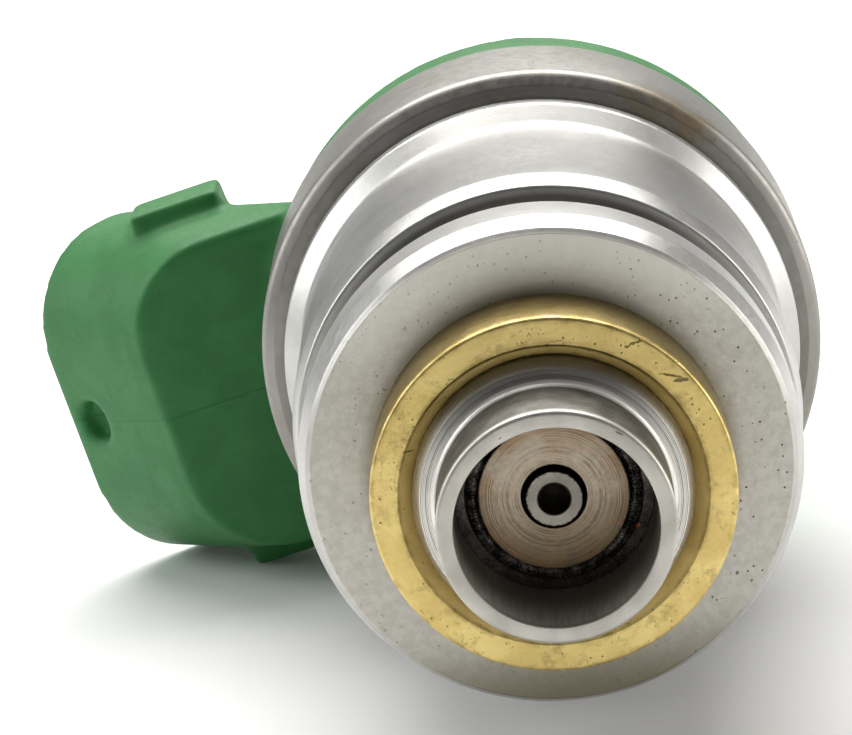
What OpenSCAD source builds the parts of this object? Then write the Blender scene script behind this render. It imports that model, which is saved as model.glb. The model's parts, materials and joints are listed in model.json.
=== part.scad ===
// Solenoid fuel injector of the pintle type, fed from the top.
// Every piece is drawn upright: outlet tip at z = 0, inlet upwards, connector
// towards -x. lay() then puts the injector on its side as it lies on a bench:
// outlet towards -Y, inlet towards +Y, rolled about its own axis until the
// connector and the rear shell touch the same plane.

/* [Outlet nose] */
// Radius of the plain nose
nose_r = 4.5; // [4.3:0.05:4.7]
// Length of the nose, from the tip to its shoulder
nose_len = 3.75; // [3.6:0.05:3.9]
// Radius of the cup inside the nose
cup_r = 3.83; // [3.7:0.01:3.9]
// Depth of the cup, down to the seat's face
cup_depth = 4.15; // [4.05:0.05:4.3]
// Radius of the nozzle tube behind the shoulder
tube_r = 5.38; // [5.3:0.01:5.5]
// Radius of the raised face of the valve seat
seat_face_r = 2.885; // [2.7:0.005:3]
// Radius of the hole that meters the fuel
orifice_r = 1.225; // [1.15:0.005:1.3]
// Outer radius of the brass locating ring
brass_r = 7; // [6.8:0.05:7.3]
// Distance from the tip to the front of the brass ring
brass_front = 4.15; // [4.05:0.05:4.3]

/* [Housing] */
// Distance from the tip to the housing's flat front face
face_z = 7.8; // [7.6:0.05:8]
// Radius of that flat face
face_r = 9.36; // [9.2:0.02:9.5]
// Radius of the front band
band_r = 9.88; // [9.7:0.02:10]
// Radius of the smooth barrel
barrel_r = 10.3; // [10.2:0.05:10.5]
// Radius of the rear shell, which is the widest round part
shell_r = 12.1; // [12:0.05:12.4]
// Distance from the tip to the front edge of the rear shell
shell_front = 26.45; // [26.4:0.05:26.6]
// Distance from the tip to the rolled edge of the rear shell
shell_back = 33.8; // [33.7:0.05:34]

/* [Moving valve] */
// How far the needle lifts off its seat
needle_lift = 0.1; // [0.06:0.01:0.12]
// Radius of the pintle that stands in the metering hole
pintle_r = 1.07; // [1:0.01:1.1]
// Radius of the needle's shaft
shaft_r = 1.5; // [1.4:0.05:1.6]
// Radius of the armature
armature_r = 4.42; // [4.38:0.01:4.44]
// Radial clearance of the needle in its guide
guide_gap = 0.03; // [0.02:0.01:0.05]
// Coils in the return spring
spring_turns = 7.5; // [6:0.5:9]
// Wire diameter of the return spring
spring_wire = 0.6; // [0.5:0.05:0.7]

/* [Connector] */
// Width of the socket shroud
shroud_w = 16.4; // [16:0.1:16.8]
// Thickness of the socket shroud
shroud_t = 10.4; // [10:0.1:10.8]
// Lean of the shroud away from the injector's axis, in degrees
shroud_lean = 41; // [40:1:42]
// Distance from the injector's axis to the middle of the shroud's mouth
mouth_out = 19.2; // [19:0.1:19.4]
// Distance from the tip to the middle of the shroud's mouth
mouth_up = 45; // [44.9:0.1:45.2]
// Depth of the socket
socket_depth = 7.2; // [6.8:0.1:7.3]
// Distance between the middles of the two blades
blade_pitch = 5.2; // [5:0.1:5.6]

/* [Inlet] */
// Length of the whole injector
total_len = 64.5; // [64:0.1:66]
// Radius of the end flange that keeps the inlet seal on
inlet_r = 6.3; // [6.1:0.05:6.5]
// Radius of the inlet's steel collar
collar_r = 7.2; // [7:0.05:7.4]
// Radius at the floor of the inlet seal's groove
inlet_groove_r = 4.7; // [4.6:0.02:4.8]

/* [Hidden] */
$fn = 96;
// Gap left round a pressed or moulded-in piece
fit_gap = 0.01;
// Small edge break
edge = 0.1;

// Stations along the injector's axis, from the tip
flange_z = 13;                     // front of the nozzle tube's flange
stop_z = 14.6;                     // front of the stop plate
stop_t = 1.2;
sleeve_z = stop_z + stop_t;        // foot of the guide sleeve
yoke_z = 16;
yoke_t = 2;
bobbin_z = yoke_z + yoke_t;
bobbin_top = 30.8;
pole_z = 27.15;                    // end of the pole that faces the armature
pole_flange_z = 31;
pole_flange_t = 1.8;
mould_z = pole_flange_z + pole_flange_t;
seat_back = 9.5;
armature_z = 17.2;
armature_top = pole_z - needle_lift - 0.05;
spring_z = 24;                     // floor of the armature's spring pocket
adjuster_z = 36;                   // end of the adjuster that presses the spring
mould_top = 48;                    // back of the moulding, against the collar
collar_top = total_len - 6.9;
inlet_flange_z = total_len - 2;

// Radii that more than one piece shares
flange_r = 7;
guide_r = 2.2;
sleeve_in = armature_r + 0.05;
sleeve_out = 5;
inlet_tube_r = 5.5;                // inlet tube inside the moulding
cavity_r = 9.3;
neck_r = 10.98;                    // housing under the rear shell
spool_r = 6.4;
winding_r = 8.7;
pole_bore_r = 2.3;
brass_bore_r = tube_r + fit_gap;

// Nozzle seal in its groove
seal_z = 10.45;
seal_section = 0.41;
seal_floor_r = 4.55;

// Blade terminals, bent from strip
strip_t = 0.6;
leg_w = 1.6;
blade_w = 2.8;
leg_u = 7.6;                       // distance of the upright legs from the axis
strip_bend = 10;                   // distance below the mouth where the blades bend
blade_tip = 2.8;                   // distance below the mouth that the blades stop

// Shroud corners, and the roll that rests the lower one beside the shell
shroud_corner = 5;
shroud_wall = 1.3;
rib_h = 0.7;                       // how far the locking ribs stand off the shroud
rib_out = 16.9;                    // distance from the axis to the ribs' outer end
rib_v = shroud_w / 2 + rib_h;
roll = asin(shell_r / norm([rib_out, rib_v])) - atan2(rib_v, rib_out);

// ---- shared shapes --------------------------------------------------------

// Lays the upright injector on its side, outlet towards -Y
module lay() {
    rotate([0, -roll, 0])
        rotate([-90, 0, 0])
            children();
}

// A turned piece: outline points are [radius, height]
module turned(outline) {
    rotate_extrude() polygon(outline);
}

// A plain ring or bush
module ring(r_in, r_out, z0, z1) {
    turned([[r_in, z0], [r_out, z0], [r_out, z1], [r_in, z1]]);
}

// A seal ring of round section
module seal(r_mid, section_r, z) {
    rotate_extrude()
        translate([r_mid, z]) circle(r = section_r, $fn = 32);
}

// A strip of metal bent through [out, up] points, as seen from the side
module strip_side(points, thickness) {
    for (i = [0 : len(points) - 2]) {
        run = points[i + 1] - points[i];
        translate(points[i])
            rotate(atan2(run.y, run.x))
                translate([0, -thickness / 2])
                    square([norm(run), thickness]);
    }
    for (i = [1 : len(points) - 2])
        translate(points[i]) circle(d = thickness, $fn = 24);
}

// Stands a side view of [out, up] points upright, width w, centred at v
module from_side(v, w) {
    translate([0, v + w / 2, 0])
        rotate([90, 0, 0])
            linear_extrude(w)
                mirror([1, 0, 0])
                    children();
}

// ---- outlet end -----------------------------------------------------------

module nozzle_tube() {
    color("silver") lay() difference() {
        turned([
            [cup_r + edge, 0], [nose_r - 0.3, 0], [nose_r, 0.3], [nose_r, nose_len],
            [nose_r + 0.6, nose_len], [tube_r, nose_len + 0.65], [tube_r, flange_z],
            [flange_r, flange_z], [flange_r, stop_z], [3, stop_z], [3, seat_back],
            [cup_r, seat_back], [cup_r, edge]
        ]);
        ring(seal_floor_r, tube_r + 1, seal_z - 0.5, seal_z + 0.5);
    }
}

module valve_seat() {
    lip_z = cup_depth + 0.45;
    cone_z = cup_depth + 0.85;
    color("tan") lay() turned([
        [orifice_r + edge, cup_depth], [seat_face_r - edge, cup_depth],
        [seat_face_r, cup_depth + edge], [seat_face_r, lip_z], [cup_r - fit_gap, lip_z],
        [cup_r - fit_gap, seat_back], [guide_r, seat_back], [guide_r, cone_z + guide_r - orifice_r],
        [orifice_r, cone_z], [orifice_r, cup_depth + edge]
    ]);
}

// Bead of weld that seals the seat into the cup
module seat_weld() {
    bead_z = cup_depth + 0.45;
    color("dimgray") lay() turned([
        [seat_face_r + fit_gap, bead_z], [cup_r - fit_gap, bead_z],
        [cup_r - fit_gap, bead_z - 0.1], [3.35, bead_z - 0.25], [seat_face_r + fit_gap, bead_z - 0.2]
    ]);
}

module brass_ring() {
    color("goldenrod") lay() turned([
        [brass_bore_r + 0.53, brass_front], [brass_r - 0.15, brass_front],
        [brass_r, brass_front + 0.15], [brass_r, face_z], [brass_bore_r, face_z],
        [brass_bore_r, brass_front + 0.7]
    ]);
}

module nozzle_seal() {
    color("dimgray") lay() seal(seal_floor_r + seal_section + 0.005, seal_section, seal_z);
}

// C-shaped plate that slips round the needle and limits its lift
module stop_plate() {
    eye_r = shaft_r + 0.3;
    slot_w = 2 * shaft_r + 0.2;
    color("gray") lay() difference() {
        ring(eye_r, flange_r - fit_gap, stop_z, sleeve_z);
        translate([0, -slot_w / 2, stop_z - 1]) cube([flange_r + 1, slot_w, stop_t + 2]);
    }
}

// ---- moving valve ---------------------------------------------------------

module needle() {
    tip_z = 3.8;
    cone_z = cup_depth + 0.88;
    cone_r = 1.9;
    collar_top = stop_z - needle_lift - fit_gap;
    land_r = guide_r - guide_gap;
    color("lightgray") lay() difference() {
        turned([
            [0, tip_z], [pintle_r, tip_z], [pintle_r, cone_z], [cone_r, cone_z + cone_r - pintle_r - 0.1],
            [cone_r, 6], [shaft_r, 6.3], [shaft_r, 7], [land_r, 7], [land_r, 8.7], [shaft_r, 8.7],
            [shaft_r, 13.6], [2.7, 13.6], [2.7, collar_top], [shaft_r, collar_top],
            [shaft_r, 22], [0, 22]
        ]);
        // dimple in the pintle's end
        translate([0, 0, tip_z - 1]) cylinder(r = 0.62, h = 1.5, $fn = 48);
        translate([0, 0, tip_z + 0.5]) sphere(r = 0.62, $fn = 48);
        // four flats that let fuel past the guide land
        for (a = [0 : 90 : 270])
            rotate(a) translate([1.85, -2, 6.9]) cube([1, 4, 1.9]);
    }
}

// Ground washer that sets the lift
module lift_shim() {
    color("gainsboro") lay()
        ring(shaft_r + fit_gap, 2.6, armature_z - 0.35, armature_z);
}

module armature() {
    color("slategray") lay() difference() {
        turned([
            [shaft_r + fit_gap, armature_z], [armature_r - 0.3, armature_z],
            [armature_r, armature_z + 0.3], [armature_r, armature_top - 0.2],
            [armature_r - 0.2, armature_top], [pole_bore_r, armature_top], [pole_bore_r, spring_z],
            [1.2, spring_z], [1.2, 22], [shaft_r + fit_gap, 22]
        ]);
        // cross holes that let fuel out of the bore
        translate([0, 0, 23]) rotate([0, 90, 0]) cylinder(r = 0.7, h = 12, center = true, $fn = 32);
        translate([0, 0, 23]) rotate([90, 0, 0]) cylinder(r = 0.7, h = 12, center = true, $fn = 32);
    }
}

// Helix of round wire, built ring by ring
module return_spring() {
    wire_r = spring_wire / 2;
    coil_r = 1.75;
    sides = 8;
    rings = floor(spring_turns * 14);
    low = spring_z + wire_r + fit_gap;
    rise = adjuster_z - spring_z - spring_wire - 2 * fit_gap;
    points = [
        for (i = [0 : rings], j = [0 : sides - 1])
            let (a = 360 * spring_turns * i / rings, b = 360 * j / sides)
                [
                    (coil_r + wire_r * cos(b)) * cos(a),
                    (coil_r + wire_r * cos(b)) * sin(a),
                    low + rise * i / rings + wire_r * sin(b)
                ]
    ];
    walls = [
        for (i = [0 : rings - 1], j = [0 : sides - 1])
            let (k = (j + 1) % sides)
                [i * sides + j, (i + 1) * sides + j, (i + 1) * sides + k, i * sides + k]
    ];
    first_end = [for (j = [0 : sides - 1]) j];
    last_end = [for (j = [sides - 1 : -1 : 0]) rings * sides + j];
    color("darkgray") lay() polyhedron(points, concat(walls, [first_end, last_end]));
}

module spring_adjuster() {
    color("gray") lay() difference() {
        ring(1.3, pole_bore_r - fit_gap, adjuster_z, adjuster_z + 9);
        translate([0, -0.25, adjuster_z - 1]) cube([4, 0.5, 11]);
    }
}

// ---- magnet ---------------------------------------------------------------

// Inlet tube, magnet pole and flange in one turned piece
module pole_core() {
    color("silver") lay() difference() {
        turned([
            [pole_bore_r, pole_z], [armature_r + 0.03, pole_z], [armature_r + 0.03, pole_flange_z],
            [neck_r, pole_flange_z], [neck_r, mould_z], [inlet_tube_r, mould_z],
            [inlet_tube_r, mould_top], [collar_r - 0.2, mould_top], [collar_r, mould_top + 0.2],
            [collar_r, collar_top - 2.8], [collar_r - 0.7, collar_top - 2.4],
            [collar_r - 0.7, collar_top - 1.6], [collar_r, collar_top - 1.2],
            [collar_r, collar_top - 0.2], [collar_r - 0.2, collar_top],
            [inlet_groove_r, collar_top], [inlet_groove_r, inlet_flange_z], [inlet_r, inlet_flange_z],
            [inlet_r, total_len - 0.3], [inlet_r - 0.3, total_len], [3.9, total_len],
            [3.5, total_len - 0.6], [3.5, total_len - 13.4], [pole_bore_r, total_len - 14.4]
        ]);
        // windows for the bobbin's terminal posts
        for (side = [-1, 1])
            translate([-leg_u - 0.75, side * blade_pitch / 2 - 1.45, pole_flange_z - 1])
                cube([1.5, 2.9, pole_flange_t + 2]);
    }
}

// Non-magnetic tube that guides the armature
module guide_sleeve() {
    color("lightgray") lay() ring(sleeve_in, sleeve_out, sleeve_z, bobbin_top - 1.7);
}

module yoke_ring() {
    color("gray") lay() ring(sleeve_out + 0.02, cavity_r - 0.02, yoke_z, bobbin_z);
}

module front_housing() {
    groove_z = 11.3;
    wall_z = 13.3;
    rim_r = 11.05;
    color("silver") lay() turned([
        [tube_r + fit_gap, face_z], [face_r, face_z], [face_r + 0.2, face_z + 0.2],
        [band_r, face_z + 1.2], [band_r, groove_z], [9.1, groove_z], [9.1, wall_z],
        [barrel_r - 0.25, wall_z], [barrel_r, wall_z + 1.3], [barrel_r, 24.2],
        [rim_r, 25.1], [rim_r, 26], [barrel_r, 26], [barrel_r, shell_front + 0.55],
        [neck_r, shell_front + 0.55], [neck_r, pole_flange_z], [cavity_r, pole_flange_z],
        [cavity_r, yoke_z], [flange_r + fit_gap, yoke_z], [flange_r + fit_gap, flange_z],
        [tube_r + fit_gap, flange_z]
    ]);
}

// Shell rolled into the housing's groove in front and over the moulding behind
module rear_shell() {
    shell_in = neck_r + fit_gap;
    lip_in = 10.3;
    color("tan") lay() turned([
        [barrel_r + 0.05, shell_front], [shell_r - 0.55, shell_front],
        [shell_r - 0.15, shell_front + 0.12], [shell_r, shell_front + 0.4],
        [shell_r, shell_back - 1], [shell_r - 0.15, shell_back - 0.4],
        [shell_r - 0.6, shell_back], [lip_in, shell_back], [lip_in, mould_z + 0.05],
        [shell_in, mould_z + 0.05], [shell_in, shell_front + 0.54],
        [barrel_r + 0.05, shell_front + 0.54]
    ]);
}

module coil_bobbin() {
    flange_out = 9.15;
    color("black") lay() {
        turned([
            [5.95, bobbin_z], [flange_out, bobbin_z], [flange_out, bobbin_z + 1.6],
            [spool_r, bobbin_z + 1.6], [spool_r, bobbin_top - 1.1], [flange_out, bobbin_top - 1.1],
            [flange_out, bobbin_top], [5.45, bobbin_top], [5.45, bobbin_top - 1.4],
            [sleeve_out + 0.03, bobbin_top - 1.4], [sleeve_out + 0.03, bobbin_z + 1.2],
            [5.95, bobbin_z + 1.2]
        ]);
        // posts that carry the terminals through the pole's flange
        for (side = [-1, 1])
            difference() {
                translate([-leg_u - 0.7, side * blade_pitch / 2 - 1.4, bobbin_top - 0.5])
                    cube([1.4, 2.8, mould_z - bobbin_top + 0.49]);
                from_side(side * blade_pitch / 2, leg_w + 2 * fit_gap)
                    translate([leg_u - strip_t / 2 - fit_gap, bobbin_top + 0.1])
                        square([strip_t + 2 * fit_gap, 4]);
            }
    }
}

module coil_winding() {
    color("saddlebrown") lay()
        ring(spool_r + fit_gap, winding_r, bobbin_z + 1.6 + fit_gap, bobbin_top - 1.1 - fit_gap);
}

module coil_tape() {
    color("khaki") lay()
        ring(winding_r + fit_gap, winding_r + 0.2, bobbin_z + 1.7, bobbin_top - 1.2);
}

module bobbin_lower_seal() {
    color("dimgray") lay() seal(5.47, 0.45, bobbin_z + 0.6);
}

module bobbin_upper_seal() {
    color("dimgray") lay() seal(4.96, 0.45, bobbin_top - 0.85);
}

// ---- connector ------------------------------------------------------------

// Point on the shroud's middle line, some way below its mouth, as [out, up]
function on_shroud(below) = [
    mouth_out - below * sin(shroud_lean),
    mouth_up - below * cos(shroud_lean)
];

// Turns children's z into the shroud's middle line, and -x into its outer side
module at_shroud(below) {
    p = on_shroud(below);
    translate([-p.x, 0, p.y])
        rotate([0, -shroud_lean, 0])
            children();
}

// Rounded rectangle, drawn from squares and circles
module rounded(t, w, r) {
    square([t, w - 2 * r], center = true);
    square([t - 2 * r, w], center = true);
    for (i = [-1, 1], j = [-1, 1])
        translate([i * (t / 2 - r), j * (w / 2 - r)]) circle(r = r);
}

// One terminal: an upright leg, a bend and the blade in the socket
module terminal_strip(side, spare) {
    v = side * blade_pitch / 2;
    bend = on_shroud(strip_bend);
    leg_foot = [leg_u, bobbin_top + 0.1];
    leg_top = [leg_u, bend.y - 0.6];
    from_side(v, leg_w + 2 * spare)
        strip_side([leg_foot, leg_top, bend, on_shroud(strip_bend - 1)], strip_t + 2 * spare);
    from_side(v, blade_w + 2 * spare)
        strip_side([on_shroud(strip_bend - 1), on_shroud(blade_tip)], strip_t + 2 * spare);
}

module terminal_left() {
    color("gainsboro") lay() terminal_strip(1, 0);
}

module terminal_right() {
    color("gainsboro") lay() terminal_strip(-1, 0);
}

module connector_overmold() {
    mould_r = 11.85;
    bore_r = inlet_tube_r + fit_gap;
    neck_z = 35.6;
    neck_out = 17.9;
    neck_w = shroud_w - 1.4;
    color("seagreen") lay() difference() {
        union() {
            turned([
                [0, mould_z], [10.25, mould_z], [10.25, shell_back + 0.05],
                [mould_r - 0.4, shell_back + 0.05], [mould_r, shell_back + 0.45],
                [mould_r, 36.6], [mould_r - 0.5, 37.1], [10.4, 37.6], [9.2, 40], [8.5, mould_top - 0.5],
                [8, mould_top], [0, mould_top]
            ]);
            // neck from the barrel to the shroud, flat in front
            hull() {
                translate([-neck_out / 2 - 2, 0, neck_z])
                    linear_extrude(0.1) rounded(neck_out - 4, neck_w, 4.4, $fn = 32);
                at_shroud(6.8)
                    linear_extrude(0.1)
                        rounded(shroud_t - 0.1, shroud_w - 0.1, shroud_corner - 0.05, $fn = 32);
            }
            at_shroud(7) linear_extrude(7) rounded(shroud_t, shroud_w, shroud_corner);
            // locking ribs on both sides
            for (side = [-1, 1])
                translate([-rib_out, side * (rib_v - 1.5) - 1.5, 39])
                    cube([4.4, 3, 3]);
        }
        at_shroud(socket_depth)
            linear_extrude(socket_depth + 1)
                rounded(shroud_t - 2 * shroud_wall, shroud_w - 2 * shroud_wall, shroud_corner - shroud_wall);
        ring(0, bore_r, mould_z - 1, mould_top + 1);
        // blind hole in the outer wall
        at_shroud(1.9)
            translate([-shroud_t / 2, 0, 0])
                rotate([0, -90, 0]) cylinder(r = 1, h = 1.8, center = true, $fn = 32);
        terminal_strip(1, fit_gap);
        terminal_strip(-1, fit_gap);
    }
}

// ---- inlet ----------------------------------------------------------------

filter_r = 3.49;
filter_low = total_len - 12.4;

module inlet_filter_frame() {
    rim_t = 1.4;
    color("ivory") lay() {
        ring(2.4, filter_r, total_len - 1 - rim_t, total_len - 1);
        ring(0, 2.2, filter_low, filter_low + 0.8);
        for (a = [0 : 90 : 270])
            rotate(a)
                translate([1.5, -0.3, filter_low + 0.4])
                    cube([0.65, 0.6, total_len - 2 - filter_low]);
        ring(1.5, 2.45, total_len - 1 - rim_t - 0.4, total_len - 1 - rim_t + 0.4);
    }
}

module inlet_filter_mesh() {
    color("whitesmoke") lay() ring(2.21, 2.35, filter_low + 0.1, total_len - 3.1);
}

module inlet_o_ring() {
    color("dimgray") lay() seal(inlet_groove_r + 1.35, 1.34, inlet_flange_z - 1.4);
}

module inlet_backup_ring() {
    color("black") lay() ring(inlet_groove_r + 0.02, 6.7, collar_top + 0.1, collar_top + 1.9);
}

nozzle_tube();
valve_seat();
seat_weld();
brass_ring();
nozzle_seal();
stop_plate();
needle();
lift_shim();
armature();
return_spring();
spring_adjuster();
pole_core();
guide_sleeve();
yoke_ring();
front_housing();
rear_shell();
coil_bobbin();
coil_winding();
coil_tape();
bobbin_lower_seal();
bobbin_upper_seal();
terminal_left();
terminal_right();
connector_overmold();
inlet_filter_frame();
inlet_filter_mesh();
inlet_o_ring();
inlet_backup_ring();
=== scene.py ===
"""Looks of the fuel injector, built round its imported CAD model. Lengths in the code are in mm."""
import json
import math

import bmesh
import bpy
from mathutils import Euler, Matrix, Vector


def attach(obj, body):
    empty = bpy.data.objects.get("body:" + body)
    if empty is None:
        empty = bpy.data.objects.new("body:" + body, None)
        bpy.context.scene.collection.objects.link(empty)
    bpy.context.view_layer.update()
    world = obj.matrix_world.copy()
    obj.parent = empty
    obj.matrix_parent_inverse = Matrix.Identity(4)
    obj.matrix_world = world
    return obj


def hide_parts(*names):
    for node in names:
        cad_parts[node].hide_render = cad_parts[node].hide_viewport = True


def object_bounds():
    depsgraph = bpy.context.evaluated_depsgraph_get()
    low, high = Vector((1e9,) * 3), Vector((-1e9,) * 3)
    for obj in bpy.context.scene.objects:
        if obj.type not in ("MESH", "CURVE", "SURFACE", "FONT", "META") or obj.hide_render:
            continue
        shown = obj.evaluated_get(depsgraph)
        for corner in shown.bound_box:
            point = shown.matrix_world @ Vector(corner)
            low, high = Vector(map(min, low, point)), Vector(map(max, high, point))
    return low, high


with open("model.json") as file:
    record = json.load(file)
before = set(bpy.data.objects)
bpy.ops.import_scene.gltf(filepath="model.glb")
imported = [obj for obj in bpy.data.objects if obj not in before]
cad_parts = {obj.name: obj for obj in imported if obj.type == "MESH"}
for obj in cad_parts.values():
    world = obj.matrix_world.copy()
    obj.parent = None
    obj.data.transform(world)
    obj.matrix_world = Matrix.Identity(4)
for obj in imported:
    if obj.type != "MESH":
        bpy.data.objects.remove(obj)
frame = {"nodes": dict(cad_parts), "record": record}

CAD_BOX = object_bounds()
NODES = frame["nodes"]
SLOTS = {part["node"]: part["material_slot"] for part in frame["record"]["subparts"]}
MM = 0.001
FLOOR = CAD_BOX[0].z
SHARP_TURNED, SHARP_CAD, ALL_SMOOTH = 32, 35, 180  # degrees from which an edge is shaded sharp
# The injector is drawn upright, tip down and connector towards -X, then laid on its side:
# its own z becomes the frame's +Y, and it rolls until the connector touches the bench.
ROLL = math.radians(11.536)
LAY = Matrix.Rotation(-ROLL, 4, "Y") @ Matrix.Rotation(math.radians(-90), 4, "X")
# The main view sees the connector rolled down further, by 19.2 degrees. The camera, the lights
# and the wear marks are placed in that view and turned by LEAN.
LEAN = math.radians(19.2) - ROLL
TILT = Matrix.Rotation(LEAN, 4, "Y")
# Main measures of the turned parts: radii, and distances from the tip.
NOSE_R, CUP_R, TUBE_R = 4.5, 3.83, 5.38
SHOULDER = 3.75
SEAT_FACE, SEAT_R, METERING_R = 4.15, 2.885, 1.225
BEAD_R = 3.4
PINTLE_R, DIMPLE_R = 1.06, 0.69
BRASS_FRONT, BRASS_R, BRASS_BORE = 4.15, 7, 5.92
FACE, FACE_R = 7.8, 9.36
BAND_R, GROOVE_R, GROOVE_START, GROOVE_END = 9.88, 9.1, 11.3, 13.3
BARREL_R, BARREL_END = 10.3, 24.2
FLANGE_R, FLANGE_END = 11.05, 26
SHELL_R, SHELL_END = 12.1, 33.8
# The connector's socket
SOCKET_LEAN = math.radians(41)
SOCKET_MOUTH = Vector((-19.2, 0, 45))
SOCKET_DEPTH = 7.25


# ---- meshes ---------------------------------------------------------------

def rounded_outline(corners, steps=5):
    """Outline points [r, z] from corners (r, z) or (r, z, fillet radius)."""
    out, n = [], len(corners)
    for i, corner in enumerate(corners):
        here = Vector(corner[:2])
        fillet = corner[2] if len(corner) > 2 else 0
        to_last = Vector(corners[i - 1][:2]) - here
        to_next = Vector(corners[(i + 1) % n][:2]) - here
        if not fillet or to_last.length < 1e-6 or to_next.length < 1e-6:
            out.append(here)
            continue
        half = to_last.angle(to_next) / 2
        reach = min(fillet / math.tan(half), 0.49 * to_last.length, 0.49 * to_next.length)
        radius = reach * math.tan(half)
        a, b = here + to_last.normalized() * reach, here + to_next.normalized() * reach
        inward = (to_last.normalized() + to_next.normalized()).normalized()
        centre = here + inward * (radius / math.sin(half))
        start = math.atan2(*(a - centre).yx)
        arc = (math.atan2(*(b - centre).yx) - start + math.pi) % (2 * math.pi) - math.pi
        for k in range(steps + 1):
            t = start + arc * k / steps
            out.append(centre + radius * Vector((math.cos(t), math.sin(t))))
    return out


def finish_mesh(name, bm, body, slot, replaced, sharp=SHARP_TURNED):
    """Turns an upright bmesh in mm into a piece that rides on a body and has its slot's look."""
    bm.transform(Matrix.Scale(MM, 4) @ LAY)
    bmesh.ops.recalc_face_normals(bm, faces=bm.faces)
    mesh = bpy.data.meshes.new(name)
    bm.to_mesh(mesh)
    bm.free()
    mesh.polygons.foreach_set("use_smooth", [True] * len(mesh.polygons))
    mesh.set_sharp_from_angle(angle=math.radians(sharp))
    piece = bpy.data.objects.new(name, mesh)
    bpy.context.scene.collection.objects.link(piece)
    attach(piece, body)
    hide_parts(*replaced)
    mesh.materials.append(LOOKS[slot])
    return piece


def turned(name, corners, body, slot, replaced, sides=320, shift=None):
    """A turned piece with a closed outline. shift(angle, r, z) may move each point, as [dr, dz]."""
    outline = rounded_outline(corners)
    bm = bmesh.new()
    rings = []
    for i in range(sides):
        angle = 2 * math.pi * i / sides
        ring = []
        for p in outline:
            dr, dz = shift(angle, p.x, p.y) if shift else (0, 0)
            r = p.x + dr
            ring.append(bm.verts.new((r * math.cos(angle), r * math.sin(angle), p.y + dz)))
        rings.append(ring)
    n = len(outline)
    for i in range(sides):
        a, b = rings[i], rings[(i + 1) % sides]
        for j in range(n):
            k = (j + 1) % n
            bm.faces.new((a[j], a[k], b[k], b[j]))
    return finish_mesh(name, bm, body, slot, replaced)


# ---- materials ------------------------------------------------------------

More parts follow.
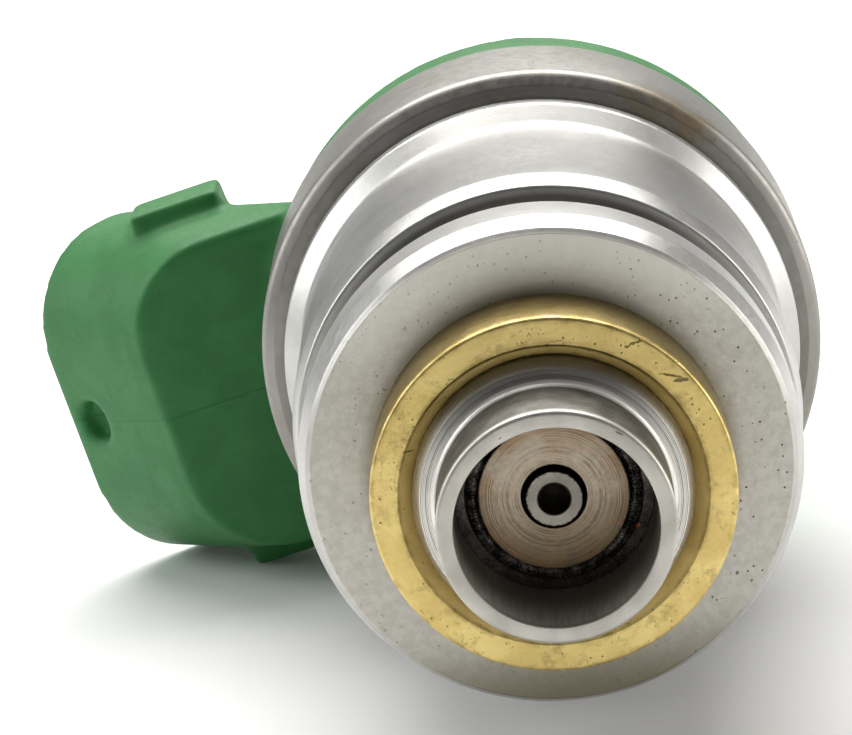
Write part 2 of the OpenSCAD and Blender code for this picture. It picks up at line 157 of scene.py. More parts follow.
class Look:
    """A procedural material. Coordinates are the object's own, in mm, in the frame's axes."""

    def __init__(self, name, **sockets):
        self.slot = name
        self.material = bpy.data.materials.new(name + "_look")
        self.material.use_nodes = True
        self.tree = self.material.node_tree
        self.shader = next(n for n in self.tree.nodes if n.type == "BSDF_PRINCIPLED")
        for socket, value in sockets.items():
            self.shader.inputs[socket.replace("_", " ")].default_value = value
        place = self.node("ShaderNodeTexCoord").outputs["Object"]
        self.place = self.vector("SCALE", place, scale=1 / MM)
        self.heights = None

    def put(self, socket, value):
        if isinstance(value, bpy.types.NodeSocket):
            self.tree.links.new(value, socket)
        elif value is not None:
            socket.default_value = value

    def node(self, kind, **settings):
        made = self.tree.nodes.new(kind)
        for key, value in settings.items():
            setattr(made, key, value)
        return made

    def math(self, operation, a, b=None):
        made = self.node("ShaderNodeMath", operation=operation)
        for socket, value in zip(made.inputs, (a, b)):
            self.put(socket, value)
        return made.outputs[0]

    def times(self, *masks):
        """1 where all of the masks are 1. A number dims them."""
        product = masks[0]
        for mask in masks[1:]:
            product = self.math("MULTIPLY", product, mask)
        return product

    def vector(self, operation, a, b=None, scale=None):
        made = self.node("ShaderNodeVectorMath", operation=operation)
        self.put(made.inputs[0], a)
        self.put(made.inputs[1], b)
        if scale is not None:
            self.put(made.inputs["Scale"], scale)
        return made.outputs["Value" if operation in ("LENGTH", "DOT_PRODUCT") else "Vector"]

    def axes(self):
        parts = self.node("ShaderNodeSeparateXYZ")
        self.put(parts.inputs[0], self.place)
        return parts.outputs

    def radius(self):
        """Distance from the injector's axis."""
        return self.vector("LENGTH", self.vector("MULTIPLY", self.place, (1, 0, 1)))

    def angle(self):
        x, _, z = self.axes()
        return self.math("ARCTAN2", x, z)

    def noise(self, scale, detail=3.0, rough=0.55, warp=0.0, at=None):
        made = self.node("ShaderNodeTexNoise")
        self.put(made.inputs["Vector"], at or self.place)
        settings = {"Scale": scale, "Detail": detail, "Roughness": rough, "Distortion": warp}
        for socket, value in settings.items():
            self.put(made.inputs[socket], value)
        return made.outputs["Fac"]

    def rings(self, per_mm):
        """Turning marks: noise along the radius and the axis, the same all the way round."""
        _, y, _ = self.axes()
        made = self.node("ShaderNodeTexNoise", noise_dimensions="1D")
        self.put(made.inputs["W"], self.math("ADD", self.radius(), y))
        self.put(made.inputs["Scale"], per_mm)
        self.put(made.inputs["Detail"], 4.0)
        self.put(made.inputs["Roughness"], 0.7)
        return made.outputs["Fac"]

    def cells(self, scale, at=None):
        """Distance to the nearest of many scattered points."""
        made = self.node("ShaderNodeTexVoronoi")
        self.put(made.inputs["Vector"], at or self.place)
        self.put(made.inputs["Scale"], scale)
        return made.outputs["Distance"]

    def band(self, value, low, high, start=0.0, end=1.0):
        """value mapped smoothly from low..high to start..end, clamped."""
        made = self.node("ShaderNodeMapRange", interpolation_type="SMOOTHSTEP")
        for socket, number in zip(made.inputs, (value, low, high, start, end)):
            self.put(socket, number)
        return made.outputs[0]

    def spot(self, centre, size, turn, ragged):
        """1 inside an ellipsoid and 0 outside. It has half sizes size and an edge that is ragged
        by that many mm, and it is placed and turned about Y by turn degrees in the main view."""
        made = self.node("ShaderNodeTexNoise")
        self.put(made.inputs["Vector"], self.place)
        self.put(made.inputs["Scale"], 6.0)
        scatter = self.vector("SUBTRACT", made.outputs["Color"], (0.5, 0.5, 0.5))
        place = self.vector("ADD", self.place, self.vector("SCALE", scatter, scale=2 * ragged))
        made = self.node("ShaderNodeMapping", vector_type="TEXTURE")
        self.put(made.inputs["Vector"], place)
        self.put(made.inputs["Location"], TILT @ Vector(centre))
        self.put(made.inputs["Rotation"], Euler((0, math.radians(turn) + LEAN, 0)))
        self.put(made.inputs["Scale"], size)
        return self.band(self.vector("LENGTH", made.outputs[0]), 0.6, 1.0, 1.0, 0.0)

    def mix(self, share, a, b):
        made = self.node("ShaderNodeMix", data_type="RGBA")
        self.put(made.inputs["Factor"], share)
        for socket, colour in ((made.inputs["A"], a), (made.inputs["B"], b)):
            self.put(socket, (*colour, 1) if isinstance(colour, tuple) else colour)
        return made.outputs["Result"]

    def either(self, *masks):
        """1 where any of the masks is 1."""
        total = masks[0]
        for mask in masks[1:]:
            total = self.math("MAXIMUM", total, mask)
        return total

    def colour(self, socket):
        self.put(self.shader.inputs["Base Color"], socket)

    def rough(self, socket):
        self.put(self.shader.inputs["Roughness"], socket)

    def relief(self, height, depth_mm):
        """Adds a bump of up to depth_mm."""
        made = self.node("ShaderNodeBump")
        self.put(made.inputs["Height"], height)
        self.put(made.inputs["Strength"], 1.0)
        self.put(made.inputs["Distance"], depth_mm * MM)
        if self.heights:
            self.put(made.inputs["Normal"], self.heights)
        self.heights = made.outputs[0]
        self.put(self.shader.inputs["Normal"], self.heights)


def metal(name, light, dark, roughness, marks, depth):
    """Turned metal: two tones in soft patches, turning marks and uneven gloss."""
    look = Look(name, Metallic=1.0)
    cloud = look.band(look.noise(0.5, 4.0), 0.35, 0.65)
    lines = look.rings(marks)
    tone = look.mix(cloud, dark, light)
    shade = tuple(c * 0.55 for c in dark)
    look.colour(look.mix(look.band(lines, 0.3, 0.5, 0.2, 0.0), tone, shade))
    fine = look.band(look.noise(9.0, 3.0), 0.3, 0.7, roughness - 0.05, roughness + 0.05)
    look.rough(look.math("ADD", fine, look.band(cloud, 0.0, 1.0, 0.06, 0.0)))
    look.relief(lines, depth)
    return look, tone


def nozzle_steel():
    look, tone = metal("nozzle_steel", (0.53, 0.512, 0.467), (0.45, 0.432, 0.39), 0.42, 9.0, 0.003)
    x, y, z = look.axes()
    r = look.radius()
    # painted shade: the turned side behind the rim is painted darker
    side = look.times(look.band(r, NOSE_R - 0.06, NOSE_R - 0.015), look.band(y, 0.1, 0.5),
                      look.band(y, SHOULDER - 0.2, SHOULDER - 0.5))
    side_painted_shade = look.mix(look.band(look.noise(1.2, 4.0), 0.35, 0.65),
                         (0.12, 0.115, 0.104), (0.19, 0.184, 0.164))
    base = look.mix(side, tone, side_painted_shade)
    # painted highlight on the fillet at its root; the shoulder is painted bright, with painted shade towards
    # its top
    beyond_nose = look.band(r, NOSE_R + 0.16, NOSE_R + 0.24)
    root_highlight = look.times(look.band(y, SHOULDER - 0.4, SHOULDER - 0.25),
                      look.band(r, NOSE_R + 0.24, NOSE_R + 0.16))
    base = look.mix(root_highlight, base, (0.86, 0.84, 0.79))
    shoulder = look.times(beyond_nose, look.band(y, SHOULDER - 0.2, SHOULDER - 0.05))
    marks = look.rings(22.0)
    steel = look.mix(look.band(z, 1.8, 4.6), (0.88, 0.86, 0.80), (0.30, 0.29, 0.27))
    marked = look.mix(look.band(marks, 0.40, 0.56, 0.75, 0.0), steel, (0.10, 0.097, 0.09))
    base = look.mix(shoulder, base, marked)
    # the cup's wall is dull and streaky, with painted shade further in and on the right and a painted
    # lighter lower side
    bore = look.times(look.band(r, CUP_R + 0.05, CUP_R + 0.01), look.band(y, 0.05, 0.25))
    streaks = look.noise(1.0, 4.0, at=look.vector("MULTIPLY", look.place, (6.0, 0.5, 6.0)))
    inward_shade = look.band(y, 0.2, 3.2)
    low = look.band(z, -0.8, -3.0)
    wall = look.mix(low, look.mix(inward_shade, (0.46, 0.44, 0.39), (0.09, 0.08, 0.066)),
                    look.mix(inward_shade, (0.75, 0.72, 0.66), (0.30, 0.275, 0.235)))
    wall = look.mix(look.band(streaks, 0.35, 0.65, 0.0, 0.25), wall, (0.16, 0.14, 0.12))
    wall = look.mix(look.band(x, 1.8, 3.4, 0.0, 0.6), wall, (0.07, 0.065, 0.055))
    base = look.mix(bore, base, wall)
    look.put(look.shader.inputs["Metallic"], look.band(bore, 0.0, 1.0, 1.0, 0.45))
    specks = look.band(look.cells(1.6), 0.045, 0.02)
    nicks = look.either(look.spot((2.25, 0.1, 3.65), (0.20, 0.6, 0.07), 30.0, 0.08),
                     look.spot((-2.1, 0.1, 3.45), (0.10, 0.6, 0.03), -30.0, 0.05))
    look.colour(look.mix(look.times(look.either(specks, nicks), 0.7), base, (0.10, 0.07, 0.05)))
    look.relief(look.times(marks, shoulder), 0.006)
    # fine knurl where the tube enters the brass ring
    ridge = look.math("SINE", look.times(look.angle(), 420.0))
    knurled = look.times(look.band(r, TUBE_R - 0.26, TUBE_R - 0.18),
                         look.band(y, SHOULDER + 1.45, SHOULDER + 1.15))
    look.relief(look.times(ridge, knurled), 0.003)
    look.relief(look.noise(5.0, 4.0), 0.004)
    return look


def seat_steel():
    """Turned steel with a brown fuel stain in patches and at the edge, and painted shade that makes it
    darker and browner towards the bottom.
    """
    look = Look("seat_steel", Metallic=1.0)
    r = look.radius()
    z = look.axes()["Z"]
    # painted shade: the disc gets darker and browner towards the bottom
    low = look.band(z, 1.2, -2.6)
    tint = look.mix(low, (0.43, 0.375, 0.295), (0.25, 0.19, 0.12))
    stain = look.band(look.noise(1.1, 5.0), 0.4, 0.65)
    tint = look.mix(look.times(stain, 0.45), tint, (0.34, 0.235, 0.13))
    edge = look.times(look.band(r, SEAT_R - 0.785, SEAT_R - 0.085),
                      look.band(look.noise(0.9, 4.0), 0.35, 0.6, 0.2, 0.8))
    tint = look.mix(edge, tint, (0.34, 0.215, 0.11))
    # turning marks that fade in and out round the disc
    broad, fine = look.rings(6.0), look.rings(24.0)
    elsewhere = look.vector("ADD", look.place, (7.0, 0, 3.0))
    patchy = look.band(look.noise(0.8, 3.0, at=elsewhere), 0.38, 0.62, 0.15, 1.0)
    for marks, low_end, high_end, start, end, shade in (
            (broad, 0.40, 0.50, 0.4, 0.0, (0.12, 0.085, 0.06)),
            (fine, 0.38, 0.52, 0.6, 0.0, (0.11, 0.08, 0.055)),
            (fine, 0.56, 0.70, 0.0, 0.4, (0.60, 0.55, 0.47))):
        tint = look.mix(look.times(look.band(marks, low_end, high_end, start, end), patchy), tint, shade)
    # painted shade on the wall of the metering hole
    hole_shade = look.band(r, METERING_R + 0.045, METERING_R - 0.025, 0.0, 0.85)
    look.colour(look.mix(hole_shade, tint, (0.06, 0.045, 0.035)))
    look.rough(look.band(look.noise(6.0, 4.0), 0.3, 0.7, 0.33, 0.46))
    look.relief(fine, 0.006)
    look.relief(broad, 0.005)
    return look


def weld():
    """Burnt bead with lighter patches that are painted glints, a dark flat round it and one rusty spot."""
    look = Look("weld", Metallic=0.85)
    # the bead is burnt dark, with painted glints in lighter patches
    burnt = look.mix(look.band(look.noise(1.6, 4.0), 0.4, 0.65),
                     (0.075, 0.069, 0.065), (0.42, 0.40, 0.38))
    flat = look.mix(look.band(look.noise(1.5, 5.0), 0.35, 0.65),
                    (0.075, 0.066, 0.058), (0.15, 0.133, 0.115))
    base = look.mix(look.band(look.radius(), BEAD_R - 0.10, BEAD_R), burnt, flat)
    rust = look.spot((3.12, 4.4, -1.28), (0.12, 0.6, 0.24), 60.0, 0.10)
    look.colour(look.mix(rust, base, (0.62, 0.19, 0.05)))
    look.rough(look.band(look.noise(7.0, 3.0), 0.3, 0.7, 0.18, 0.42))
    look.relief(look.noise(9.0, 4.0), 0.004)
    return look


def brass():
    look = Look("brass", Metallic=1.0)
    y = look.axes()["Y"]
    r = look.radius()
    cloud = look.band(look.noise(0.45, 5.0, warp=0.4), 0.35, 0.65)
    base = look.mix(cloud, (0.66, 0.50, 0.185), (0.78, 0.62, 0.245))
    tarnish = look.band(look.noise(1.3, 6.0, 0.65), 0.50, 0.72)
    base = look.mix(look.times(tarnish, 0.7), base, (0.36, 0.26, 0.09))
    rims = look.either(look.band(r, BRASS_R - 0.28, BRASS_R - 0.05),
                    look.band(r, BRASS_BORE + 0.20, BRASS_BORE + 0.03))
    worn = look.band(look.noise(1.6, 5.0), 0.42, 0.62, 0.0, 0.5)
    base = look.mix(look.times(rims, worn), base, (0.30, 0.20, 0.06))
    # painted light: the cone inside is painted bright and dull, and the outer side gets painted shade
    front = look.band(y, BRASS_FRONT + 0.20, BRASS_FRONT + 0.05)
    lit_cone = look.times(look.band(r, BRASS_BORE + 0.06, BRASS_BORE - 0.02),
                        look.band(y, BRASS_FRONT + 0.05, BRASS_FRONT + 0.20))
    base = look.mix(lit_cone, base, look.mix(cloud, (0.70, 0.50, 0.16), (0.88, 0.66, 0.24)))
    look.put(look.shader.inputs["Metallic"], look.band(lit_cone, 0.0, 1.0, 1.0, 0.05))
    shaded_outside = look.times(look.band(r, BRASS_R - 0.07, BRASS_R - 0.02),
                         look.band(y, BRASS_FRONT + 0.20, BRASS_FRONT + 0.55))
    base = look.mix(shaded_outside, base, look.mix(cloud, (0.34, 0.25, 0.085), (0.42, 0.32, 0.12)))
    # dark specks of three sizes, the smaller ones in clusters
    specks = look.either(
        look.band(look.cells(1.1), 0.06, 0.025),
        look.times(look.band(look.cells(3.0), 0.14, 0.07), look.band(look.noise(0.6), 0.48, 0.58)),
        look.times(look.band(look.cells(6.5), 0.20, 0.10), look.band(look.noise(0.9), 0.50, 0.62)))
    # nicks at the upper right and a dark crack at the left
    nicks = look.either(look.spot((4.35, 4.2, 4.75), (0.52, 0.5, 0.05), 8.0, 0.08),
                     look.spot((4.72, 4.2, 4.58), (0.34, 0.5, 0.08), -6.0, 0.10),
                     look.spot((2.95, 4.2, 6.0), (0.50, 0.5, 0.05), -24.0, 0.12),
                     look.spot((-5.52, 4.5, 1.70), (0.26, 1.2, 0.05), 8.0, 0.05))
    marks = look.times(look.either(specks, nicks), 0.8)
    look.colour(look.mix(marks, base, (0.09, 0.065, 0.03)))
    scuffs = look.noise(2.0, 4.0, at=look.vector("MULTIPLY", look.place, (1.0, 0.6, 7.0)))
    gloss = look.band(look.noise(6.0, 4.0), 0.3, 0.7, 0.30, 0.44)
    look.rough(look.math("ADD", gloss, look.times(front, 0.04)))
    look.relief(look.rings(16.0), 0.004)
    look.relief(scuffs, 0.006)
    look.relief(look.math("SUBTRACT", 1.0, marks), 0.02)
    return look


def body_steel():
    look = Look("body_steel", Metallic=1.0)
    x, y, z = look.axes()
    r = look.radius()
    cloud = look.band(look.noise(0.35, 5.0), 0.35, 0.65)
    plain = look.mix(cloud, (0.44, 0.435, 0.415), (0.50, 0.495, 0.475))
    # painted shade: the barrel is painted darker than the front band
    barrel_shade = look.times(look.band(y, GROOVE_END + 0.1, GROOVE_END + 2.2),
                        look.band(y, BARREL_END + 0.2, BARREL_END - 1.0))
    plain = look.mix(barrel_shade, plain, look.mix(cloud, (0.30, 0.298, 0.286), (0.35, 0.347, 0.333)))
    # the front face is matt, with painted light at the top and painted shade at the bottom and round the
    # brass ring
    front = look.times(look.band(y, FACE + 0.15, FACE + 0.02), look.band(r, FACE_R + 0.14, FACE_R + 0.02))
    mottle = look.band(look.noise(2.4, 6.0, 0.7), 0.38, 0.62)
    face = look.mix(mottle, (0.46, 0.445, 0.397), (0.525, 0.51, 0.46))
    face = look.mix(look.band(z, 3.5, 8.0, 0.0, 0.8), face, (0.74, 0.725, 0.66))
    face = look.mix(look.band(z, -5.8, -9.5, 0.0, 0.88), face, (0.20, 0.178, 0.115))
    face = look.mix(look.band(r, BRASS_R + 0.6, BRASS_R, 0.0, 0.5), face, (0.25, 0.21, 0.13))
    base = look.mix(front, plain, face)
    # painted shade in the two grooves, most of it on top
    groove_shade = look.either(look.times(look.band(r, BAND_R - 0.02, BAND_R - 0.28),
                                look.band(y, GROOVE_START - 0.1, GROOVE_START + 0.05)),
                     look.times(look.band(r, FLANGE_R - 0.10, FLANGE_R - 0.45),
                                look.band(y, FLANGE_END - 0.1, FLANGE_END + 0.02)))
    top = look.band(z, 5.5, 8.6, 0.05, 0.7)
    base = look.mix(look.times(groove_shade, top), base, (0.10, 0.097, 0.088))
    # pits in the face, most of them at the right
    more_right = look.band(x, 2.0, 8.0, 0.45, 1.0)
    small = look.times(look.band(look.cells(3.4), 0.19, 0.09), look.band(look.noise(0.9, 2.0), 0.45, 0.55))
    elsewhere = look.vector("ADD", look.place, (3.3, 0, 1.7))
    large = look.band(look.cells(0.75, at=elsewhere), 0.07, 0.03)
    specks = look.times(look.either(small, large), front, more_right)
    look.colour(look.mix(look.times(specks, 0.85), base, (0.06, 0.05, 0.04)))
    gloss = look.band(look.noise(5.0, 4.0), 0.3, 0.7, 0.33, 0.42)
    look.rough(look.math("ADD", gloss, look.times(front, 0.06)))
    look.relief(look.rings(12.0), 0.003)
    look.relief(look.noise(5.0, 4.0), 0.003)
    look.relief(look.math("SUBTRACT", 1.0, specks), 0.012)
    return look


def shell_steel():
    look = Look("shell_steel", Metallic=1.0)
    cloud = look.band(look.noise(0.22, 4.0), 0.35, 0.65)
    base = look.mix(cloud, (0.25, 0.24, 0.218), (0.29, 0.281, 0.261))
    stain = look.times(look.spot((5.4, 26.6, 10.6), (3.0, 1.6, 1.6), 28.0, 0.8),
                       look.band(look.noise(0.8, 5.0), 0.3, 0.6))
    base = look.mix(look.times(stain, 0.7), base, (0.24, 0.18, 0.10))
    specks = look.band(look.cells(0.7), 0.05, 0.025)
    look.colour(look.mix(look.times(specks, 0.6), base, (0.12, 0.10, 0.08)))
    look.rough(look.band(look.noise(3.0, 5.0), 0.3, 0.7, 0.36, 0.48))
    look.relief(look.rings(6.0), 0.003)
    look.relief(look.noise(2.5, 5.0, 0.6), 0.003)
    return look


def inlet_steel():
    look, _ = metal("inlet_steel", (0.53, 0.52, 0.495), (0.45, 0.44, 0.42), 0.32, 5.0, 0.006)
    look.relief(look.noise(4.0, 4.0), 0.004)
    return look


def inner_steel():
    look, _ = metal("inner_steel", (0.55, 0.55, 0.54), (0.46, 0.46, 0.45), 0.36, 8.0, 0.006)
    return look


def spring_steel():
    look = Look("spring_steel", Metallic=1.0)
    tone = look.band(look.noise(1.5, 4.0), 0.4, 0.6)
    look.colour(look.mix(tone, (0.36, 0.36, 0.37), (0.50, 0.50, 0.50)))
    look.rough(look.band(look.noise(8.0, 3.0), 0.3, 0.7, 0.25, 0.4))
    look.relief(look.noise(10.0, 4.0), 0.004)
    return look


def needle_steel():
    look, tone = metal("needle_steel", (0.33, 0.31, 0.27), (0.265, 0.248, 0.215), 0.42, 12.0, 0.003)
    r = look.radius()
    tip = look.band(look.axes()["Y"], 5.2, 4.9)
    # the pintle's edge has a ragged dark rim, and the dimple in its end has dark brown painted shade and is
    # dull
    ragged = look.math("ADD", r, look.band(look.noise(9.0, 3.0), 0.3, 0.7, -0.025, 0.03))
    burnt = look.times(look.band(ragged, PINTLE_R - 0.03, PINTLE_R), tip)
    dimple_shade = look.times(look.band(r, DIMPLE_R, DIMPLE_R - 0.06), tip)
    base = look.mix(look.times(burnt, 0.95), tone, (0.03, 0.026, 0.022))
    brown = look.mix(look.band(r, 0.35, 0.55), (0.022, 0.020, 0.015), (0.040, 0.028, 0.018))
    look.colour(look.mix(dimple_shade, base, brown))
    look.put(look.shader.inputs["Metallic"], look.band(dimple_shade, 0.0, 1.0, 1.0, 0.2))
    look.put(look.shader.inputs["Specular IOR Level"], look.band(dimple_shade, 0.0, 1.0, 0.5, 0.12))
    look.relief(look.noise(8.0, 4.0), 0.010)
    return look


def rubber():
    look = Look("rubber", Specular_IOR_Level=0.35)
    bloom = look.band(look.noise(1.2, 5.0), 0.35, 0.65)
    look.colour(look.mix(bloom, (0.014, 0.014, 0.015), (0.034, 0.033, 0.032)))
    look.rough(look.band(look.noise(6.0, 4.0), 0.3, 0.7, 0.48, 0.68))
    look.relief(look.noise(14.0, 4.0), 0.006)
    return look


def moulded(name, dark, light, low=0.38, high=0.5, shine=0.45):
    """Moulded plastic: faint flow clouding and a fine spark-eroded grain."""
    look = Look(name, Specular_IOR_Level=shine)
    cloud = look.band(look.noise(0.5, 5.0, warp=0.6), 0.35, 0.65)
    base = look.mix(cloud, dark, light)
    fleck = look.band(look.noise(22.0, 2.0), 0.62, 0.75)
    bright = tuple(min(1.0, c * 1.8 + 0.02) for c in light)
    look.colour(look.mix(look.times(fleck, 0.18), base, bright))
    look.rough(look.band(look.noise(4.0, 4.0), 0.3, 0.7, low, high))
    look.relief(look.noise(11.0, 5.0, 0.6), 0.010)
    return look


def green_plastic():
    look = moulded("green_plastic", (0.029, 0.165, 0.042), (0.038, 0.190, 0.052), 0.42, 0.54, 0.25)
    look.relief(look.noise(0.9, 3.0), 0.008)
    # parting line of the mould, in the plane through the axis and the connector
    across = (-math.sin(ROLL), 0, math.cos(ROLL))
    off_plane = look.math("ABSOLUTE", look.vector("DOT_PRODUCT", look.place, across))
    look.relief(look.band(off_plane, 0.12, 0.03), 0.02)
    return look


def copper_wire():
    look = Look("copper_wire", Metallic=1.0, Coat_Weight=0.6, Coat_Roughness=0.15)
    tone = look.band(look.noise(1.0, 4.0), 0.4, 0.6)
    look.colour(look.mix(tone, (0.45, 0.15, 0.05), (0.62, 0.25, 0.10)))
    look.rough(look.band(look.noise(6.0, 3.0), 0.3, 0.7, 0.22, 0.36))
    look.relief(look.noise(9.0, 3.0), 0.004)
    return look


def tape():
    look = Look("tape", Specular_IOR_Level=0.5)
    tone = look.band(look.noise(0.8, 4.0), 0.4, 0.6)
    look.colour(look.mix(tone, (0.52, 0.33, 0.06), (0.66, 0.46, 0.12)))
    look.rough(look.band(look.noise(5.0, 3.0), 0.3, 0.7, 0.25, 0.4))
    look.relief(look.noise(1.5, 4.0), 0.02)
    return look


def tinned_terminal():
    look = Look("tinned_terminal", Metallic=1.0)
    tone = look.band(look.noise(1.5, 5.0), 0.35, 0.65)
    look.colour(look.mix(tone, (0.60, 0.60, 0.58), (0.76, 0.75, 0.72)))
    look.rough(look.band(look.noise(6.0, 4.0), 0.3, 0.7, 0.2, 0.36))
    look.relief(look.noise(6.0, 4.0), 0.002)
    return look


def filter_mesh():
    """Woven nylon: crossing threads as relief, darker in the openings."""
    look = Look("filter_mesh", Specular_IOR_Level=0.4)
    along = look.math("SINE", look.times(look.axes()["Y"], 38.0))
    round_it = look.math("SINE", look.times(look.angle(), 84.0))
    weave = look.either(look.math("ABSOLUTE", along), look.math("ABSOLUTE", round_it))
    look.colour(look.mix(look.band(weave, 0.55, 0.9), (0.10, 0.09, 0.07), (0.74, 0.72, 0.64)))
    look.rough(look.band(look.noise(6.0, 3.0), 0.3, 0.7, 0.4, 0.55))
    look.relief(weave, 0.05)
    return look


LOOKS = {
    look.slot: look.material
    for look in (
        nozzle_steel(), seat_steel(), weld(), brass(), body_steel(), shell_steel(), inlet_steel(),
        inner_steel(), spring_steel(), needle_steel(), rubber(), green_plastic(), copper_wire(), tape(),
        tinned_terminal(), filter_mesh(),
        moulded("bobbin_plastic", (0.018, 0.018, 0.019), (0.034, 0.034, 0.035)),
        moulded("filter_plastic", (0.62, 0.56, 0.42), (0.74, 0.69, 0.55)),
        moulded("backup_plastic", (0.030, 0.027, 0.024), (0.055, 0.050, 0.045), 0.42, 0.58),
    )
}

for name, obj in NODES.items():
    mesh = obj.data
    mesh.materials.clear()
    mesh.materials.append(LOOKS[SLOTS[name]])
    mesh.polygons.foreach_set("use_smooth", [True] * len(mesh.polygons))
    mesh.set_sharp_from_angle(angle=math.radians(SHARP_CAD))


# ---- pieces that replace CAD nodes ----------------------------------------

turned("nozzle_tube_turned", [
    (CUP_R, 0, 0.07), (NOSE_R, 0, 0.17), (NOSE_R, SHOULDER, 0.28), (5.1, SHOULDER, 0.07), (TUBE_R, 4.4, 0.1),
    (TUBE_R, 9.95, 0.05), (4.55, 9.95, 0.05), (4.55, 10.95, 0.05), (TUBE_R, 10.95, 0.05),
    (TUBE_R, 13), (7, 13, 0.1), (7, 14.6), (3, 14.6), (3, 9.5), (CUP_R, 9.5),
], "injector", "nozzle_steel", ["nozzle_tube"])

turned("valve_seat_turned", [
    (METERING_R, SEAT_FACE, 0.07), (SEAT_R, SEAT_FACE, 0.06), (SEAT_R, 4.6, 0.04), (3.82, 4.6), (3.82, 9.5),
    (2.2, 9.5), (2.2, 5.975), (METERING_R, 5.0),
], "injector", "seat_steel", ["valve_seat"])

turned("brass_ring_turned", [
    (BRASS_BORE, BRASS_FRONT, 0.06), (BRASS_R, BRASS_FRONT, 0.16), (BRASS_R, FACE), (5.39, FACE),
    (5.39, 4.85, 0.05),
], "injector", "brass", ["brass_ring"])

turned("front_housing_turned", [
    (5.39, FACE), (FACE_R, FACE, 0.03), (9.56, 8.0, 0.06), (BAND_R, 9.0, 0.4), (BAND_R, GROOVE_START, 0.14),
    (GROOVE_R, GROOVE_START, 0.1), (GROOVE_R, GROOVE_END, 0.1), (10.05, GROOVE_END, 0.18),
    (BARREL_R, 14.6, 0.6), (BARREL_R, BARREL_END, 0.7), (FLANGE_R, 25.1, 0.3), (FLANGE_R, FLANGE_END, 0.1),
    (BARREL_R, FLANGE_END, 0.05), (BARREL_R, 27.0), (10.98, 27.0), (10.98, 31), (9.3, 31), (9.3, 16),
    (7.01, 16), (7.01, 13), (5.39, 13),
], "injector", "body_steel", ["front_housing"])

turned("rear_shell_turned", [
    (10.35, 26.45), (11.55, 26.45, 0.1), (SHELL_R, 26.85, 0.55), (SHELL_R, 32.8, 0.5), (11.95, 33.4, 0.2),
    (11.5, SHELL_END, 0.2), (10.3, SHELL_END, 0.05), (10.3, 32.85), (10.99, 32.85), (10.99, 26.99),
    (10.35, 26.99),
], "injector", "shell_steel", ["rear_shell"])


RIDGES = 170


def bead(angle, r, z):
    """Ridges across the weld bead, slightly uneven. Its outer part is flat."""
    top = max(0.0, min(1.0, (4.54 - z) / 0.06)) * max(0.0, min(1.0, (3.42 - r) / 0.1))
    ridge = math.sin(angle * RIDGES + 1.5 * math.sin(angle * 7))
    lump = math.sin(angle * 23 + 2 * math.sin(angle * 5)) + 0.6 * math.sin(angle * 41 + 1)
    return 0.0, -top * (0.028 * ridge + 0.012 * lump)


turned("seat_weld_bead", [
    (2.895, 4.60), (3.82, 4.60), (3.82, 4.55, 0.02), (BEAD_R, 4.55, 0.05), (3.30, 4.44, 0.08),
    (3.10, 4.36, 0.1), (2.95, 4.42, 0.05), (2.895, 4.5),
], "injector", "weld", ["seat_weld"], sides=1600, shift=bead)


def upright(node):
    """A copy of a CAD node's mesh in the upright frame, in mm."""
    mesh = NODES[node].data.copy()
    mesh.transform(LAY.inverted() @ Matrix.Scale(1 / MM, 4))
    return mesh


def soft_moulding(voxel=0.18, passes=10, inset=0.15):
    """The moulding with the radii a mould gives: the CAD solid remeshed finely and relaxed."""
    name = "connector_moulding"
    bm = bmesh.new()
    # the plastic closes tightly round the terminals up to the socket's floor
    out = Vector((-math.sin(SOCKET_LEAN), 0, math.cos(SOCKET_LEAN)))
    for terminal in ("terminal_left", "terminal_right"):
        bm.from_mesh(upright(terminal))
    bmesh.ops.bisect_plane(bm, geom=bm.verts[:] + bm.edges[:] + bm.faces[:],
                           plane_co=SOCKET_MOUTH - SOCKET_DEPTH * out, plane_no=out, clear_outer=True)
    bmesh.ops.holes_fill(bm, edges=bm.edges)
    bmesh.ops.solidify(bm, geom=bm.faces[:], thickness=-inset)
    bm.from_mesh(upright("connector_overmold"))
    mesh = bpy.data.meshes.new(name)
    bm.to_mesh(mesh)
    bm.free()
    piece = bpy.data.objects.new(name, mesh)
    bpy.context.scene.collection.objects.link(piece)
    remesh = piece.modifiers.new("voxels", "REMESH")
    remesh.mode, remesh.voxel_size, remesh.adaptivity = "VOXEL", voxel, 0.0
    graph = bpy.context.evaluated_depsgraph_get()
    fresh = bpy.data.meshes.new_from_object(piece.evaluated_get(graph))
    bpy.data.objects.remove(piece)
    bm = bmesh.new()
    bm.from_mesh(fresh)
    for _ in range(passes):
        bmesh.ops.smooth_vert(bm, verts=bm.verts, factor=0.5,
                              use_axis_x=True, use_axis_y=True, use_axis_z=True)
    return finish_mesh(name, bm, "injector", "green_plastic", ["connector_overmold"], ALL_SMOOTH)


soft_moulding()


# ---- stage ----------------------------------------------------------------

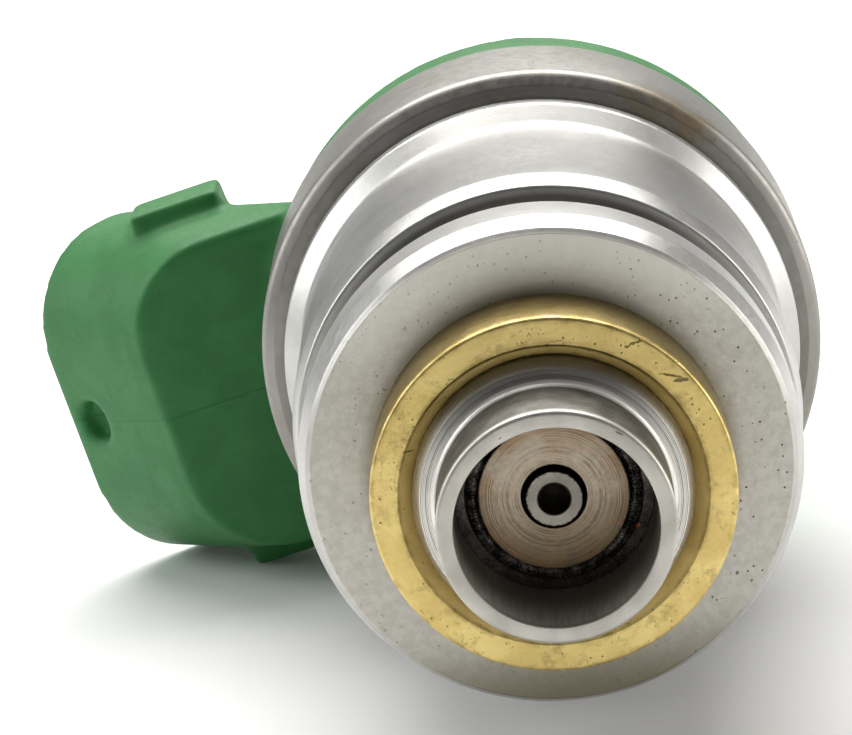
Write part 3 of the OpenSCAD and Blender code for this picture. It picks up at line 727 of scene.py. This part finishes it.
def sweep(front=-0.9, back=0.55, bend=0.25, height=1.0, half_width=1.2, steps=24):
    """Pale bench that curves up behind the object. In metres."""
    bm = bmesh.new()
    profile = [(front, 0), (back, 0)]
    for k in range(1, steps + 1):
        t = math.radians(90 * k / steps)
        profile.append((back + bend * math.sin(t), bend - bend * math.cos(t)))
    profile.append((back + bend, height))
    left = [bm.verts.new((-half_width, y, z + FLOOR)) for y, z in profile]
    right = [bm.verts.new((half_width, y, z + FLOOR)) for y, z in profile]
    for i in range(len(profile) - 1):
        bm.faces.new((left[i], right[i], right[i + 1], left[i + 1]))
    mesh = bpy.data.meshes.new("bench")
    bm.to_mesh(mesh)
    bm.free()
    mesh.polygons.foreach_set("use_smooth", [True] * len(mesh.polygons))
    bench = bpy.data.objects.new("bench", mesh)
    bpy.context.scene.collection.objects.link(bench)
    look = Look("bench_paper")
    look.colour(look.mix(look.noise(0.02, 3.0), (0.86, 0.86, 0.855), (0.90, 0.90, 0.895)))
    look.rough(look.band(look.noise(0.3, 3.0), 0.3, 0.7, 0.65, 0.8))
    mesh.materials.append(look.material)


sweep()


def towards(direction):
    """The rotation that points a camera or a lamp along a direction of the main view."""
    return TILT.to_quaternion() @ direction.to_track_quat("-Z", "Y")


def soft_light(name, place, target, size, power, colour):
    """A softbox, placed in the main view. Metres and watts."""
    data = bpy.data.lights.new(name, "AREA")
    data.shape, data.size, data.size_y = "RECTANGLE", size[0], size[1]
    data.energy, data.color = power, colour
    lamp = bpy.data.objects.new(name, data)
    lamp.location = TILT @ Vector(place)
    lamp.rotation_mode = "QUATERNION"
    lamp.rotation_quaternion = towards(Vector(target) - Vector(place))
    bpy.context.scene.collection.objects.link(lamp)


soft_light("softbox_top", (-0.06, 0.30, 0.42), (0, 0.03, 0), (0.55, 0.45), 4.2, (1.0, 0.99, 0.97))
soft_light("softbox_left", (-0.50, 0.10, 0.18), (0, 0.02, 0), (0.35, 0.35), 1.2, (0.97, 0.99, 1.0))
soft_light("softbox_right", (0.50, 0.10, 0.20), (0, 0.02, 0), (0.35, 0.35), 1.35, (1.0, 0.98, 0.95))


def studio(front=(0.15, 0.15, 0.152, 1), back=(0.85, 0.85, 0.84, 1), strength=0.88):
    """World light that is dim in front of the object and bright behind it."""
    world = bpy.data.worlds.new("studio")
    world.use_nodes = True
    bpy.context.scene.world = world
    nodes, links = world.node_tree.nodes, world.node_tree.links
    direction = nodes.new("ShaderNodeTexCoord")
    parts = nodes.new("ShaderNodeSeparateXYZ")
    share = nodes.new("ShaderNodeMapRange")
    share.inputs["From Min"].default_value, share.inputs["From Max"].default_value = -1, 1
    ramp = nodes.new("ShaderNodeValToRGB")
    for stop, position, colour in zip(ramp.color_ramp.elements, (0.3, 0.7), (front, back)):
        stop.position, stop.color = position, colour
    background = nodes["Background"]
    links.new(direction.outputs["Generated"], parts.inputs[0])
    links.new(parts.outputs["Y"], share.inputs["Value"])
    links.new(share.outputs[0], ramp.inputs[0])
    links.new(ramp.outputs[0], background.inputs["Color"])
    background.inputs["Strength"].default_value = strength


studio()

bpy.context.scene.view_settings.view_transform = "Standard"

# ---- camera ---------------------------------------------------------------

lens = bpy.data.cameras.new("camera")
lens.lens, lens.sensor_width = 170.7, 36
lens.clip_start, lens.clip_end = 0.005, 10
camera = bpy.data.objects.new("camera", lens)
camera.location = TILT @ Vector((-0.00392, -0.1424, 0.04375))
camera.rotation_mode = "QUATERNION"
camera.rotation_quaternion = towards(Vector((-0.0061, 0.9668, -0.2554)))
bpy.context.scene.collection.objects.link(camera)
bpy.context.scene.camera = camera
